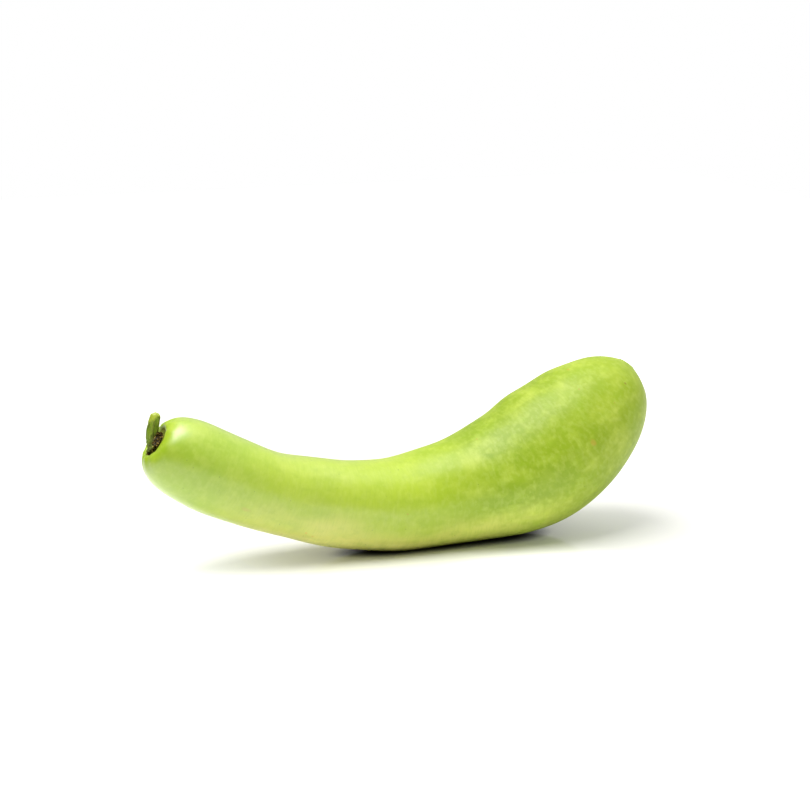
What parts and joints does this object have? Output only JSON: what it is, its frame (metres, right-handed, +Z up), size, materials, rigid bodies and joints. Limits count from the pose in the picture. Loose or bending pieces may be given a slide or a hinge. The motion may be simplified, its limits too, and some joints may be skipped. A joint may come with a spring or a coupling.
{
  "type": "bottle gourd",
  "caption": "Fresh pale-green bottle gourd: slim curved neck, swollen belly end, ribbed stem stub with a corky foot; lies on its belly on a small flat spot.",
  "frame": {"origin": "middle of the small flat spot that the fruit rests on", "axes": "+X along the fruit from its stem end to its blossom end, +Y across it, +Z up from the surface that it lies on"},
  "size_m": [0.3496, 0.0913, 0.1166],
  "materials": {
    "skin": "smooth waxy living rind, satin gloss, cloudy yellow-green",
    "stalk": "green ribbed stalk, matt, with a dark corky foot"
  },
  "bodies": {
    "root": {"fruit": "skin", "stem": "stalk"}
  },
  "joints": []
}
